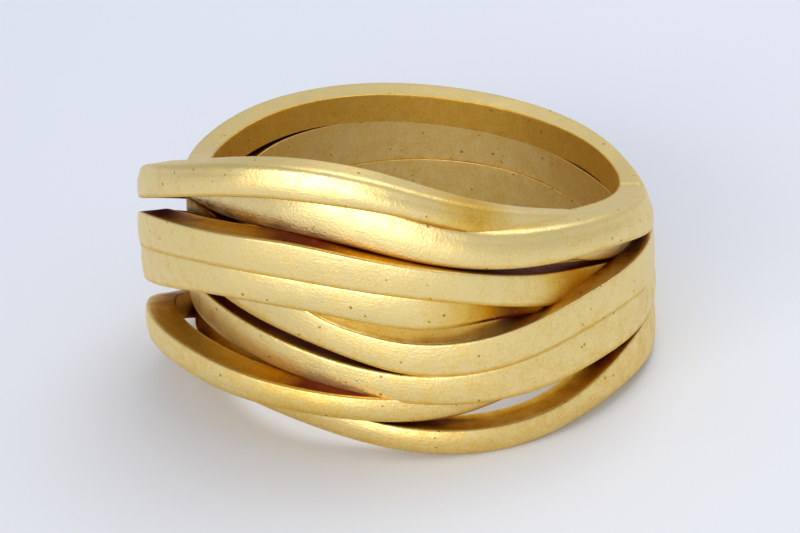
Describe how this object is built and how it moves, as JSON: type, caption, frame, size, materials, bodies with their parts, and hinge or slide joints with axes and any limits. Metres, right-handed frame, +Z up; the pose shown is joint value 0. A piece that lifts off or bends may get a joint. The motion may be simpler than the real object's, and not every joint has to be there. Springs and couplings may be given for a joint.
{
  "type": "ring",
  "caption": "Wide finger ring of flat wavy gold strands that cross over one another and are soldered into one open-textured band.",
  "frame": {"origin": "under the middle of the ring's outline, on the surface it lies on", "axes": "+Z up along the axis of the finger hole, the wide front of the band faces -Y, the strands bulge off the band towards -X"},
  "size_m": [0.0224, 0.0214, 0.0137],
  "materials": {
    "satin_gold": "satin"
  },
  "bodies": {
    "root": {"wave_ring": "satin_gold"}
  },
  "joints": []
}
